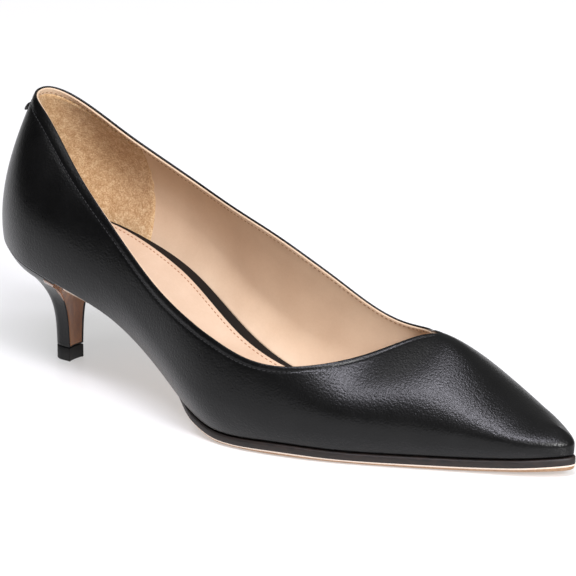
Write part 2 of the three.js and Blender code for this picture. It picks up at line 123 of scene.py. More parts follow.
TOPLINE_COLUMNS = ("along", "lateral", "medial")
TOPLINE = np.array([
    (0.00, 1.275, 1.275),
    (0.15, 1.229, 1.217),
    (0.32, 1.163, 1.165),
    (0.50, 1.132, 1.224),
    (0.66, 1.183, 1.261),
    (0.80, 1.198, 1.174),
    (0.91, 1.493, 1.441),
    (1.00, 2.000, 2.000),
])


def spline(xs, ys):
    """A natural cubic spline through the points."""
    gaps = np.diff(xs)
    count = len(xs)
    system = np.eye(count)
    right = np.zeros(count)
    for i in range(1, count - 1):
        system[i, i - 1:i + 2] = gaps[i - 1] / 6, (gaps[i - 1] + gaps[i]) / 3, gaps[i] / 6
        right[i] = (ys[i + 1] - ys[i]) / gaps[i] - (ys[i] - ys[i - 1]) / gaps[i - 1]
    bend = np.linalg.solve(system, right)

    def at(x):
        i = np.clip(np.searchsorted(xs, x) - 1, 0, count - 2)
        a = (xs[i + 1] - x) / gaps[i]
        b = (x - xs[i]) / gaps[i]
        straight = a * ys[i] + b * ys[i + 1]
        return straight + ((a ** 3 - a) * bend[i] + (b ** 3 - b) * bend[i + 1]) * gaps[i] ** 2 / 6

    return at


section = {name: spline(SECTIONS[:, 0], SECTIONS[:, i]) for i, name in enumerate(SECTION_COLUMNS)}
topline = {name: spline(TOPLINE[:, 0], TOPLINE[:, i]) for i, name in enumerate(TOPLINE_COLUMNS)}
print("sections of the last:", len(SECTIONS), "rows of the topline:", len(TOPLINE))

# %% [markdown]
# The surface itself: `t` runs from the counter to the toe tip, `v` goes up the wall, 0 at the
# feather where the wall meets the sole, 1 at the widest line and 2 at the ridge of the last.
# The counter leans forward over the seat, and the toe box curls back over the toe tip.


# %% The last's surface
def seat_height(x):
    """Height of the feather above the floor."""
    share = section["seat"](np.clip(x / LAST_LENGTH, 0, 1))
    return TREAD_HEIGHT + HEEL_RISE * (share + np.hypot(share, 0.008)) / 2


def closing(t):
    """How far the outline is open near the counter and the toe tip."""
    back = np.clip(1 - t * LAST_LENGTH / HEEL_ROUND, 0, 1)
    front = np.clip(1 - (1 - t) * LAST_LENGTH / TOE_ROUND, 0, 1)
    return (1 - back ** 2.2) ** (1 / 2.2) * (1 - front ** 2.1) ** (1 / 2.1)


def half_breadth(t, side):
    """Breadth of the sole's outline beside the centre line."""
    return BALL_WIDTH * np.where(side < 0, section["lateral"](t), section["medial"](t))


def swell_breadth(t, side):
    """How far the wall swells out beyond that outline."""
    return BALL_WIDTH * np.where(side < 0, section["swell_l"](t), section["swell_m"](t))


def plan_point(t, across):
    """A point seen from above, at a distance across from the centre line."""
    return np.stack([t * LAST_LENGTH, TOE_SWING * section["centre"](t) + across], -1)


def last_point(t, v, side):
    """A point of the outer face of the upper."""
    foot = INSTEP_HEIGHT * section["swell_up"](t)
    crown = INSTEP_HEIGHT * section["crown"](t)
    peak = section["peak"](t)
    turn = np.clip(v - 1, 0, 1) * math.pi / 2
    c = np.cos(turn)
    half = half_breadth(t, side)
    swell = swell_breadth(t, side)
    low_y = half + swell * (1 - (1 - np.clip(v, 0, 1)) ** 2)
    y = np.where(v > 1, (half + swell) * ((1 - peak) * c + peak * c ** 3), low_y)
    h = np.where(v > 1, foot + (crown - foot) * np.sin(turn), foot * v)
    near_back = np.clip(1 - t / COUNTER_REACH, 0, 1) ** 2
    near_toe = np.clip(1 - (1 - t) / TOE_REACH, 0, 1) ** 2
    lean_share = np.clip((h - COUNTER_PLUMB) / (COUNTER_LEAN_HEIGHT - COUNTER_PLUMB), 0, 3)
    toe_top = INSTEP_HEIGHT * section["crown"](1.0) + 1 - TOE_CURL_HEIGHT
    curl_share = np.clip(((h - TOE_CURL_HEIGHT) / toe_top - TOE_CURL_FROM) / TOE_CURL_OVER, 0, 1)
    x = t * LAST_LENGTH + COUNTER_LEAN * lean_share ** 1.7 * near_back
    x = x - 0.9 * TOE_CURL * curl_share ** 2 * (3 - 2 * curl_share) * near_toe
    y = TOE_SWING * section["centre"](t) + side * y * closing(t)
    return np.stack(np.broadcast_arrays(x, y, seat_height(t * LAST_LENGTH) + h), -1)


def topline_place(t, side):
    """How far up the wall the topline lies."""
    along = np.clip(t * LAST_LENGTH / THROAT_AT, 0, 1)
    return np.minimum(np.where(side < 0, topline["lateral"](along), topline["medial"](along)), 2.0)


# %% [markdown]
# The shoe is worked round in columns: down the lateral side from the counter to the toe tip,
# and back up the medial side. The columns crowd together where the outline turns sharply.

# %% Columns round the shoe
THROAT = THROAT_AT / LAST_LENGTH
BACK_COLUMNS = 170
FRONT_COLUMNS = 96
u_back = np.linspace(0, 1, BACK_COLUMNS + 1)
u_front = np.linspace(0, 1, FRONT_COLUMNS + 1)[1:]
stations = np.concatenate([
    THROAT * (0.6 * u_back ** 2 * (3 - 2 * u_back) + 0.4 * u_back ** 1.8),
    THROAT + (1 - THROAT) * (1 - (1 - u_front) ** 1.8),
])
TOE_COLUMN = len(stations) - 1
column = np.concatenate([np.arange(TOE_COLUMN + 1), np.arange(TOE_COLUMN - 1, 0, -1)])
side = np.where(np.arange(len(column)) <= TOE_COLUMN, -1.0, 1.0)
place = stations[column]
on_ridge = column >= BACK_COLUMNS
COLUMNS = len(column)
print("columns round the shoe:", COLUMNS)

# %% [markdown]
# A mesh is made here from rings of points with equal counts: each ring is joined to the next
# by a band of quads. Small helpers keep every piece below short: they make the faces of a
# tube, a flat sheet or a slab, and one turns points and faces into a smooth object that
# rides on the shoe.


# %% Mesh helpers
WELD_DISTANCE = 2e-6


def band(lower, upper, count, closed=True, keep=None):
    """Quads between two rings that start at the point numbers lower and upper."""
    faces = []
    for i in range(count if closed else count - 1):
        j = (i + 1) % count
        if keep is None or keep[i] or keep[j]:
            faces.append((lower + i, lower + j, upper + j, upper + i))
    return faces


def tube(rings, count, start=0, capped=False):
    """Quads of a wall through a number of rings, with or without flat ends."""
    last = start + (rings - 1) * count
    faces = [tuple(range(k, k + count)) for k in (start, last) if capped]
    for k in range(start, last, count):
        faces += band(k, k + count, count)
    return faces


def sheet(near, far, across, start):
    """Points and faces of a sheet between two lines, its first point numbered start."""
    count = len(near)
    points = []
    faces = []
    for share in np.linspace(0, 1, across + 1):
        points += list(near + (far - near) * share)
    for k in range(start, start + across * count, count):
        faces += band(k, k + count, count, closed=False)
    return points, faces


def slab(front, back):
    """Points and faces of a closed slab between two grids of points."""
    rows, count = front.shape[:2]
    offset = rows * count
    faces = []
    for j in range(0, offset - count, count):
        faces += band(j, j + count, count, closed=False)
        faces += band(offset + j + count, offset + j, count, closed=False)
        for c in (j, j + count - 1):
            faces.append((c, c + count, offset + c + count, offset + c))
    for j in (0, offset - count):
        faces += band(j, offset + j, count, closed=False)
    return np.concatenate([front.reshape(-1, 3), back.reshape(-1, 3)]), faces


def make_piece(name, points, faces, materials, slots=None, node=None):
    """Makes a smooth mesh object from last millimetres, riding on the shoe."""
    mesh = bpy.data.meshes.new(name)
    mesh.from_pydata(to_frame(points).tolist(), [], [tuple(map(int, face)) for face in faces])
    if slots is not None:
        mesh.polygons.foreach_set("material_index", np.asarray(slots, np.int32))
    work = bmesh.new()
    work.from_mesh(mesh)
    bmesh.ops.remove_doubles(work, verts=work.verts, dist=WELD_DISTANCE)
    loose = [vert for vert in work.verts if not vert.link_faces]
    bmesh.ops.delete(work, geom=loose, context="VERTS")
    bmesh.ops.recalc_face_normals(work, faces=work.faces)
    for face in work.faces:
        face.smooth = True
    work.to_mesh(mesh)
    work.free()
    for material in materials:
        mesh.materials.append(material)
    piece = bpy.data.objects.new(name, mesh)
    bpy.context.scene.collection.objects.link(piece)
    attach(piece, "root")
    if node:
        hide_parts(node)
    print(name, "has", len(mesh.polygons), "faces")


def wall_normals(grid):
    """Outward normals of a grid of rows up the wall, shared where the two sides meet."""
    following = np.roll(grid, -1, axis=1)
    facet = np.cross(following[1:] - grid[:-1], grid[1:] - following[:-1])
    normals = np.zeros_like(grid)
    facet = facet + np.roll(facet, 1, axis=1)
    normals[:-1] += facet
    normals[1:] += facet
    mirror = (COLUMNS - np.arange(COLUMNS)) % COLUMNS
    shared = normals[-1] + normals[-1][mirror]
    normals[-1] = np.where(on_ridge[:, None], shared, normals[-1])
    normals /= np.linalg.norm(normals, axis=-1, keepdims=True) + 1e-12
    probe = (len(grid) // 2, COLUMNS // 4, 1)
    return normals if normals[probe] * grid[probe] > 0 else -normals


# %% [markdown]
# Materials come next. One function turns a hex colour from sRGB to linear light, one sets or
# links sockets, and one adds a node. Every pattern's scale is one over a real size.


# %% Node helpers
def linear(colour):
    """An sRGB hex colour as linear RGBA."""
    parts = [int(colour[i:i + 2], 16) / 255 for i in (1, 3, 5)]
    return [p / 12.92 if p <= 0.04045 else ((p + 0.055) / 1.055) ** 2.4 for p in parts] + [1.0]


def set_sockets(tree, node, sockets):
    """Sets sockets to values, or links them to an output or a node's first output."""
    for name, value in sockets.items():
        if isinstance(value, bpy.types.Node):
            value = value.outputs[0]
        if isinstance(value, bpy.types.NodeSocket):
            tree.links.new(value, node.inputs[name])
        else:
            node.inputs[name].default_value = value


def add_node(tree, kind, sockets=None, stops=(), **settings):
    """Adds a node with its settings, its ramp's hex colours and its links."""
    new = tree.nodes.new("ShaderNode" + kind)
    for name, value in settings.items():
        setattr(new, name, value)
    for i, (position, colour) in enumerate(stops):
        elements = new.color_ramp.elements
        element = elements[i] if i < 2 else elements.new(position)
        element.position = position
        element.color = linear(colour)
    set_sockets(tree, new, sockets or {})
    return new


def new_material(name, **shader):
    """An empty material with its shader; a keyword with _ for a space sets a socket."""
    material = bpy.data.materials.new(name)
    material.use_nodes = True
    tree = material.node_tree
    bsdf = tree.nodes["Principled BSDF"]
    set_sockets(tree, bsdf, {key.replace("_", " "): value for key, value in shader.items()})
    where = add_node(tree, "TexCoord").outputs["Object"]
    return material, tree, bsdf, where


# %% [markdown]
# Calf leather for dress shoes is plated smooth and pigmented black. Close up it is a net of
# fine pebbles with darker pores between them, which break the gloss into small sparks. It
# gives the eye a deep black with one soft, sparkling band of light. The pebbles are about
# 0.2 mm on the real skin and are drawn at 0.6 mm, the pores at 0.9 mm, so that they show.

# %% Black calf leather
GRAIN = 0.6 * MM
PORES = 0.9 * MM
WAVES = 4.0 * MM
CLOUDS = 9.0 * MM


def calf_leather():
    """Black leather: pebbles and pores as bump, with faint clouds in the pigment."""
    material, tree, bsdf, where = new_material("calf_leather_black", IOR=1.5, Specular_IOR_Level=0.27)
    pebbles = add_node(tree, "TexVoronoi", {"Vector": where, "Scale": 1 / GRAIN}, feature="SMOOTH_F1")
    pores = add_node(tree, "TexNoise", {"Vector": where, "Scale": 1 / PORES, "Detail": 3.0})
    clouds = add_node(tree, "TexNoise", {"Vector": where, "Scale": 1 / CLOUDS})
    waves = add_node(tree, "TexNoise", {"Vector": where, "Scale": 1 / WAVES})
    colour = add_node(tree, "ValToRGB", {"Fac": clouds}, stops=[(0.3, "#060606"), (0.75, "#0c0c0c")])
    rough = add_node(tree, "MapRange", {"Value": pores, "To Min": 0.25, "To Max": 0.34})
    height = add_node(tree, "Math", {0: pebbles, 1: -0.7}, operation="MULTIPLY")
    mixed = add_node(tree, "Math", {0: height, 1: pores}, operation="ADD")
    bump = add_node(tree, "Bump", {"Height": mixed, "Distance": 0.09 * MM})
    wavy = add_node(tree, "Bump", {"Height": waves, "Strength": 0.5, "Distance": 0.05 * MM, "Normal": bump})
    set_sockets(tree, bsdf, {"Base Color": colour, "Roughness": rough, "Normal": wavy})
    return material


CALF = calf_leather()
print("leather grain drawn at", round(GRAIN / MM, 2), "mm")

# %% [markdown]
# The lining is undyed smooth leather, warm beige, with faint clouds of colour and hardly any
# grain. The sock on the insole is the same kind of skin, a little pinker. Both give the eye a
# warm, quiet inside against the black.


# %% Lining and sock leather
def soft_leather(name, patches, grain, detail, grain_share, stops, strength, depth, **shader):
    """Leather mottled at two sizes, the finer of which is also its bump."""
    material, tree, bsdf, where = new_material(name, **shader)
    coarse = add_node(tree, "TexNoise", {"Vector": where, "Scale": 1 / patches, "Detail": 3.0})
    fine = add_node(tree, "TexNoise", {"Vector": where, "Scale": 1 / grain, "Detail": detail})
    factor = add_node(tree, "Mix", {0: grain_share, 2: coarse, 3: fine})
    colour = add_node(tree, "ValToRGB", {"Fac": factor}, stops=stops)
    bump = add_node(tree, "Bump", {"Height": fine, "Strength": strength, "Distance": depth})
    set_sockets(tree, bsdf, {"Base Color": colour, "Normal": bump})
    return material


def plain_leather(name, dark, light):
    """Smooth leather between two close colours."""
    return soft_leather(name, 14 * MM, 0.8 * MM, 4.0, 0.25, [(0.3, dark), (0.7, light)], 0.35, 0.03 * MM,
                        Roughness=0.55, IOR=1.45)


LINING = plain_leather("lining_leather_beige", "#c4a98e", "#d1b89d")
SOCK = plain_leather("sock_leather_rose_beige", "#bda38b", "#cab29b")
print("soft leathers:", LINING.name, SOCK.name)

# %% [markdown]
# The heel grip is suede: the flesh side of the skin, brushed up so that a sock doesn't slip
# out of it. Its nap lies in patches that catch the light differently, so the colour is
# mottled at two scales, and a little sheen stands for the fine fibres. The eye sees a soft,
# speckled tan. The fibres are drawn coarser than real, at 0.6 mm, so that they show.

# %% Suede heel grip
SUEDE_STOPS = [(0.34, "#9c7850"), (0.66, "#d6bd98"), (0.5, "#b9976e")]
SUEDE = soft_leather("suede_tan", 2.5 * MM, 0.6 * MM, 3.0, 0.65, SUEDE_STOPS, 0.7, 0.12 * MM,
                     Roughness=0.95, IOR=1.4, Sheen_Weight=0.25, Sheen_Roughness=0.5)
print("suede nap in", len(SUEDE_STOPS), "shades")

# %% [markdown]
# The plain finishes are the painted sole edge, pale bevel, tan sole leather, lacquered breast,
# rubber and threads. One function makes them all, from two colours, a roughness and the real
# size of the small break-up in both.


# %% Sole, heel and thread finishes
def finish(name, dark, light, roughness, size_mm, stretch=(1, 1, 1), bump_mm=0.02, **shader):
    """A plain finish, mottled between two colours at a size in millimetres."""
    material, tree, bsdf, where = new_material(name, **shader)
    spread = add_node(tree, "Mapping", {"Vector": where, "Scale": stretch})
    noise = add_node(tree, "TexNoise", {"Vector": spread, "Scale": 1 / (size_mm * MM), "Detail": 4.0})
    colour = add_node(tree, "ValToRGB", {"Fac": noise}, stops=[(0.3, dark), (0.7, light)])
    rough = add_node(tree, "MapRange", {"Value": noise, "To Min": roughness * 0.85,
                                        "To Max": min(roughness * 1.15, 1.0)})
    bump = add_node(tree, "Bump", {"Height": noise, "Strength": 0.5, "Distance": bump_mm * MM})
    set_sockets(tree, bsdf, {"Base Color": colour, "Roughness": rough, "Normal": bump})
    return material


# Brushed on by hand: nearly black, half matt, with faint streaks along the edge.
EDGE_PAINT = finish("edge_paint_dark_brown", "#0c0807", "#251a15", 0.55, 1.2, (0.4, 0.4, 1.6), 0.05)
# Bare cut leather, its pale colour partly a painted highlight of the light that the floor throws up on it:
# the bright line that parts the shoe from the floor.
BEVEL = finish("sole_bevel_bare_leather_and_painted_light", "#e2cdbc", "#f0dfd0", 0.6, 0.8)
# Tan and warm, with a fine fleck.
SOLE_LEATHER = finish("sole_leather_tan", "#94704f", "#b08a68", 0.5, 1.5)
# Dark brown cover, painted nearly black as painted shade in the recess: the deep shadow line round the sock.
INSOLE = finish("insole_cover_dark_brown_and_painted_shade", "#080504", "#0f0a09", 0.7, 0.6, bump_mm=0.04,
                Specular_IOR_Level=0.2)
# Red-brown under clear lacquer, with upright streaks: the only glossy face of the shoe.
BREAST = finish("breast_lacquered_tan", "#74431f", "#9a6130", 0.2, 3.0, (1.0, 1.0, 0.2), 0.01,
                Coat_Weight=0.3, Coat_Roughness=0.08)
# Dull black that ends the heel.
RUBBER = finish("top_piece_rubber_black", "#080808", "#111111", 0.6, 0.5)
# Waxed thread: small dull dots in the gloss, one colour for each seam.
BLACK_THREAD = finish("thread_black", "#070707", "#0f0f10", 0.65, 0.3)
LINING_THREAD = finish("thread_brown", "#6b4a2f", "#8a6544", 0.7, 0.3)
SOCK_THREAD = finish("thread_rose", "#8e6448", "#a97c5e", 0.7, 0.3)
print("materials so far:", len(bpy.data.materials))

# %% [markdown]
# The upper's outer skin is folded over a tape along the topline and sewn 1.7 mm from the
# edge. The stitch row pulls a shallow channel into the leather and leaves the folded edge
# slightly puffed. So the rows of the mesh crowd together near the topline, and this step
# finds the line itself and the way out of the wall at each of its points.

# %% The topline
FOLD = 0.85 / 2
STITCH_FROM_EDGE = 1.7
CHANNEL_DEPTH = 0.14
PUFF_FROM_EDGE = 0.95
PUFF_HEIGHT = 0.10
EDGE_ROWS = np.array([3.4, 2.9, 2.5, 2.2, 1.95, 1.7, 1.45, 1.2, 0.9, 0.65])
WALL_ROWS = 52
FEATHER_ROUND = 0.8
top = topline_place(place, side)
top[on_ridge] = 2.0
step = 1e-3
edge_line = last_point(place, top, side)
climb = (edge_line - last_point(place, top - step, side)) / step

# As one closed line: up the lateral side, and back along the medial side.
line_order = np.concatenate([np.arange(BACK_COLUMNS + 1), COLUMNS - np.arange(BACK_COLUMNS, 0, -1)])
line = edge_line[line_order]
forward = np.roll(line, -1, axis=0)
backward = np.roll(line, 1, axis=0)
forward[BACK_COLUMNS] = line[BACK_COLUMNS + 2]
backward[BACK_COLUMNS + 1] = line[BACK_COLUMNS - 1]
tangent = forward - backward
tangent /= np.linalg.norm(tangent, axis=1, keepdims=True)

coarse = np.stack([last_point(place, top * j / 40, side) for j in range(41)])
edge_normal = wall_normals(coarse)[-1]
edge_out = np.zeros_like(edge_normal)
edge_out[line_order] = np.cross(tangent, edge_normal[line_order])
edge_out /= np.linalg.norm(edge_out, axis=1, keepdims=True) + 1e-12
flip = np.sign((edge_out * climb).sum(1))
flip[on_ridge] = 1.0
edge_out *= np.where(flip == 0, 1.0, flip)[:, None]
THROAT_COLUMNS = [BACK_COLUMNS, COLUMNS - BACK_COLUMNS]
edge_out[THROAT_COLUMNS] = (-1.0, 0.0, 0.0)
rise_rate = np.abs((climb * edge_out).sum(1))
per_mm = np.clip(1 / np.maximum(rise_rate, 1e-6), 0.015, 0.06)
per_mm[on_ridge] = 0.06
print("topline", round(float(np.linalg.norm(np.diff(line, axis=0), axis=1).sum())), "mm long")

# %% [markdown]
# Leather also settles: pulled over the last it keeps soft, shallow hollows. They are listed
# as a place along the shoe, a place up the wall, their reach and their depth.

# %% Skin over the last
SETTLING = (
    # along, up, reach along, reach up, slant, depth in mm, side
    (0.64, 0.70, 0.030, 0.50, 0.05, 0.22, -1),
    (0.70, 1.15, 0.018, 0.30, 0.08, 0.12, -1),
    (0.55, 0.55, 0.025, 0.40, -0.03, 0.15, -1),
    (0.30, 0.60, 0.040, 0.45, 0.02, 0.15, -1),
    (0.62, 0.65, 0.030, 0.45, 0.04, 0.18, 1),
    (0.36, 0.60, 0.040, 0.45, 0.02, 0.15, 1),
)


def settle(t, v):
    """Depth of the soft hollows, in millimetres."""
    depth = np.zeros(np.broadcast(t, v).shape)
    for along, up, reach, tall, slant, deep, which in SETTLING:
        away = ((t - along - slant * (v - up)) / reach) ** 2 + ((v - up) / tall) ** 2
        depth = depth + np.where(side == which, deep, 0.0) * np.exp(-away)
    return depth


low = FEATHER_ROUND / (INSTEP_HEIGHT * section["swell_up"](place))
last_row = top - EDGE_ROWS[0] * per_mm
wall_places = [low + (last_row - low) * j / WALL_ROWS for j in range(WALL_ROWS)]
wall_places += [top - distance * per_mm for distance in EDGE_ROWS]
wall_places = np.stack(wall_places)
skin = last_point(place, wall_places, side)
skin = np.concatenate([skin, (edge_line - FOLD * edge_out)[None]])
past_throat = on_ridge.copy()
past_throat[THROAT_COLUMNS] = False
skin[-1][past_throat] = edge_line[past_throat]
skin_normals = wall_normals(skin)
from_edge = np.concatenate([np.full(WALL_ROWS, np.inf), EDGE_ROWS, [FOLD]])[:, None]
channel = CHANNEL_DEPTH * np.exp(-((from_edge - STITCH_FROM_EDGE) / 0.35) ** 2)
puff = PUFF_HEIGHT * np.exp(-((from_edge - PUFF_FROM_EDGE) / 0.4) ** 2)
sewn = np.where(on_ridge & (column > BACK_COLUMNS), 0.0, 1.0)
relief = (puff - channel) * sewn
relief[:-1] -= settle(place, wall_places)
skin = skin + relief[..., None] * skin_normals
print("rows up the wall:", len(skin))

# %% [markdown]
# Now the skin becomes a real wall. From the top row it rolls over the fold in a half circle,
# comes down inside, and at the bottom it is turned under as the lasting margin, where the
# insole and the sole hide it. On the vamp, in front of the throat, the two sides simply meet.


# %% Wall with a rolled edge
def roll_over(centre, radius, steps=8):
    """Rings of a half circle at the topline, from the outer to the inner face."""
    turns = np.linspace(0, math.pi, steps + 1)
    return [centre + radius * (math.cos(a) * edge_normal + math.sin(a) * edge_out) for a in turns]


def plan_outline(height, end=1.0):
    """The last's outline seen from above, at a height over the feather."""
    t = end * place
    rise = 1 - (1 - np.clip(height / (INSTEP_HEIGHT * section["swell_up"](t)), 0, 1)) ** 2
    open_share = closing(t) * (closing(place) if end < 1 else 1)
    return plan_point(t, side * (half_breadth(t, side) + swell_breadth(t, side) * rise) * open_share)


def inset(outline, depth):
    """Moves an outline inward by a depth, one value or one for each point."""
    way = np.roll(outline, -1, axis=0) - np.roll(outline, 1, axis=0)
    way /= np.linalg.norm(way, axis=1, keepdims=True) + 1e-12
    inward = np.stack([-way[:, 1], way[:, 0]], -1)
    return outline + inward * np.broadcast_to(depth, len(outline))[:, None]


def on_seat(outline, lift):
    """Lays a plan outline on the seat."""
    return np.column_stack([outline, seat_height(outline[:, 0]) + lift])


def shell(outer, rim, inner):
    """Points and faces of a ring-shaped wall. Its rim ends at the throat."""
    rings = outer + rim + inner
    rim_bands = range(len(outer), len(outer) + len(rim) - 1)
    faces = []
    for k in range(len(rings)):
        keep = ~on_ridge if k in rim_bands else None
        faces += band(k * COLUMNS, (k + 1) % len(rings) * COLUMNS, COLUMNS, keep=keep)
    return np.concatenate(rings), faces


margin_place = np.clip(place * LAST_LENGTH, WALL * 2, LAST_LENGTH - WALL * 2.5) / LAST_LENGTH
margin_full = half_breadth(margin_place, side) * closing(margin_place)
margin_half = np.maximum(margin_full - MARGIN_WIDTH, margin_full * 0.35) * closing(place) ** 0.5
margin_line = plan_point(margin_place, side * margin_half)

hidden_rows = np.arange(WALL_ROWS + 6, 0, -3)
outer = [on_seat(margin_line, 0.0)]
for angle in (70, 35):
    turn = math.radians(angle)
    feather = inset(plan_outline(0.0), FEATHER_ROUND * (1 - math.cos(turn)))
    outer.append(on_seat(feather, FEATHER_ROUND * (1 - math.sin(turn))))
outer += list(skin[:-1])
rim = roll_over(skin[-1] - FOLD * edge_normal, FOLD)
inner = [skin[row] - 2 * FOLD * skin_normals[row] for row in hidden_rows]
inner.append(on_seat(margin_line, MARGIN_THICKNESS))
points, faces = shell(outer, rim, inner)
make_piece("upper_leather", points, faces, [CALF], node="upper")

# %% [markdown]
# The lining is a second, thinner wall glued inside the first. Its cut edge shows as a fine
# pale line all along the topline, so it gets a small bead of its own. A hair of glue parts
# the two, and the suede from the lining.

# %% Lining
LINING_HALF = (WALL - 2 * FOLD) / 2
LINING_DROP = 0.12
GLUE = 0.02
lining_face = 2 * FOLD + GLUE
bead_centre = edge_line - (LINING_HALF + LINING_DROP) * edge_out - (lining_face + LINING_HALF) * edge_normal
smooth_wall = np.concatenate([last_point(place, wall_places, side), skin[-1:]])
smooth_normals = wall_normals(smooth_wall)
outer = [smooth_wall[row] - lining_face * smooth_normals[row] for row in hidden_rows[::-1]]
inner = [smooth_wall[row] - WALL * smooth_normals[row] for row in np.arange(WALL_ROWS + 6, -1, -2)]
points, faces = shell(outer, roll_over(bead_centre, LINING_HALF), inner)
make_piece("lining", points, faces, [LINING])

# %% [markdown]
# The heel grip is a thin patch of suede on the lining, from one side of the heel round to
# the other. Its edges are skived, so they run out into the lining.

# %% Heel grip
GRIP_END = 0.173
GRIP_THICKNESS = 0.4
grip_columns = np.nonzero(place <= GRIP_END)[0]
grip_columns = np.roll(grip_columns, np.count_nonzero(grip_columns > TOE_COLUMN))
grip_rows = np.arange(0, WALL_ROWS + 8)
grip_wall = smooth_wall[np.ix_(grip_rows, grip_columns)]
grip_normals = smooth_normals[np.ix_(grip_rows, grip_columns)]
across = np.arange(len(grip_columns))
rows_in = np.minimum(grip_rows, grip_rows[::-1])
columns_in = np.minimum(across, across[::-1])
skive = np.clip(np.minimum.outer(rows_in / 2.0, columns_in / 3.0), 0, 1)
front = grip_wall - (WALL + GLUE + GRIP_THICKNESS * skive ** 0.5)[..., None] * grip_normals
points, faces = slab(front, grip_wall - (WALL - 0.1) * grip_normals)
make_piece("heel_grip", points, faces, [SUEDE])

# %% [markdown]
# Insole and sock are flat-across plates that follow the seat down from the heel to the ball.
# The insole's dark cover shows as a border that widens in the waist; its near-black colour is
# partly painted shade of the recess. Both have a soft edge.

# %% Insole and sock
SOCK_BORDER = np.array([(0.0, 0.18), (0.12, 0.4), (0.25, 0.65), (0.38, 0.68), (0.5, 0.36), (0.62, 0.12),
                        (1.0, 0.1)])


def soft_steps(table, t):
    """Soft steps between the rows of a two-column table."""
    i = np.clip(np.searchsorted(table[:, 0], t) - 1, 0, len(table) - 2)
    u = np.clip((t - table[i, 0]) / (table[i + 1, 0] - table[i, 0]), 0, 1)
    return table[i, 1] + (table[i + 1, 1] - table[i, 1]) * u * u * (3 - 2 * u)


def plate(outline, lift, thickness, soft=0.35, across=10):
    """Points and faces of a plate on the seat with a rounded upper edge."""
    rings = [on_seat(outline, lift), on_seat(outline, lift + thickness - soft)]
    for angle in (30, 60, 90):
        turn = math.radians(angle)
        inner = inset(outline, soft * (1 - math.cos(turn)))
        rings.append(on_seat(inner, lift + thickness - soft * (1 - math.sin(turn))))
    faces = tube(len(rings), COLUMNS)
    points = list(np.concatenate(rings))
    for ring in (rings[-1], rings[0]):
        medial = np.concatenate([ring[:1], ring[:TOE_COLUMN - 1:-1]])
        more_points, more_faces = sheet(ring[:TOE_COLUMN + 1], medial, across, len(points))
        points += more_points
        faces += more_faces
    return np.array(points), faces


insole_outline = inset(plan_outline(MARGIN_THICKNESS + CLEARANCE), WALL + CLEARANCE)
points, faces = plate(insole_outline, MARGIN_THICKNESS + CLEARANCE, INSOLE_THICKNESS)
make_piece("insole_cover", points, faces, [INSOLE], node="insole")

sock_full = plan_outline(0.0, SOCK_LENGTH / LAST_LENGTH)
sock_inset = WALL + CLEARANCE + SOCK_INSET * soft_steps(SOCK_BORDER, sock_full[:, 0] / LAST_LENGTH)
sock_outline = inset(sock_full, sock_inset)
SOCK_LIFT = MARGIN_THICKNESS + 2 * CLEARANCE + INSOLE_THICKNESS
points, faces = plate(sock_outline, SOCK_LIFT, SOCK_THICKNESS)
make_piece("sock_lining", points, faces, [SOCK], node="sock")

# %% [markdown]
# The outsole is cut from tan leather. In the waist it is tucked in under the upper, and round
# the forefoot it stands out a little. It is straight at the breast of the heel. Two tables
# give both, as a place along the shoe and a share.

# %% Outline of the sole
SOLE_TUCK = np.array([(0.16, 0.75), (0.3, 1.0), (0.39, 0.45), (0.46, 0.0), (0.62, 0.0), (1.0, 0.0)])
SOLE_STAND_OUT = np.array([(0.16, 0.0), (0.39, 0.0), (0.46, 0.3), (0.62, 1.0), (1.0, 1.0)])
sole_from = (BREAST_AT + CLEARANCE) / LAST_LENGTH
sole_t = sole_from + (1 - sole_from) * place
sole_t = np.append(sole_t, sole_t[0])
sole_side = np.append(side, 1.0)
sole_plan = plan_point(sole_t, sole_side * half_breadth(sole_t, sole_side) * closing(sole_t))
SOLE_COUNT = len(sole_plan)


def sole_line(depth):
    """The sole's outline moved inward, with its straight end at the breast."""
    moved = inset(sole_plan, depth)
    moved[0] = sole_plan[0] + [0.0, depth[0]]
    moved[-1] = sole_plan[-1] - [0.0, depth[-1]]
    return moved


print("points in the sole's outline:", SOLE_COUNT)

# %% [markdown]
# The sole's upright edge is painted dark brown, and under the paint a narrow bare bevel shows
# as a bright line just above the floor. Its pale colour is partly bare leather and partly a
# painted highlight of the light that the floor throws up. Below it the underside is rounded
# down to the tread. Each row of the profile has a share of the rounding, a share of the way
# down to the tread, and the finish of the band above: 0 edge paint, 1 bare bevel with its
# painted highlight, 2 tan.

# %% Outsole
SOLE_PROFILE = ((0.0, 0.0, 0), (0.03, 0.2, 0), (0.12, 0.42, 1), (0.3, 0.68, 2), (0.6, 0.9, 2),
                (1.0, 1.0, 2))
SOLE_TOP_ROUND = 0.35
SOLE_ACROSS = 8
stand_out = SOLE_WELT * soft_steps(SOLE_STAND_OUT, sole_t)
edge_depth = WAIST_INSET * soft_steps(SOLE_TUCK, sole_t) - stand_out
narrowing = np.minimum(1, (1.04 - sole_t) / 0.12)
top_depths = (edge_depth + SOLE_TOP_ROUND, edge_depth, edge_depth)
sole_rings = []
sole_finish = []
for depth, drop in zip(top_depths, (0.0, SOLE_TOP_ROUND, SOLE_EDGE * 0.5)):
    line_at = sole_line(depth)
    sole_rings.append(np.column_stack([line_at, seat_height(line_at[:, 0]) - CLEARANCE - drop]))
    sole_finish.append(0)
for share_in, share_down, surface in SOLE_PROFILE:
    line_at = sole_line(edge_depth + share_in * SOLE_ROUND * narrowing)
    seat = seat_height(line_at[:, 0]) - CLEARANCE
    upright = seat - SOLE_EDGE
    tread = np.maximum(0, seat - SOLE_THICKNESS - TREAD_FLAT)
    sole_rings.append(np.column_stack([line_at, upright + (tread - upright) * share_down]))
    sole_finish.append(surface)
faces = tube(len(sole_rings), SOLE_COUNT)
slots = list(np.repeat(sole_finish[1:], SOLE_COUNT))
points = list(np.concatenate(sole_rings))
half_count = SOLE_COUNT // 2 + 1
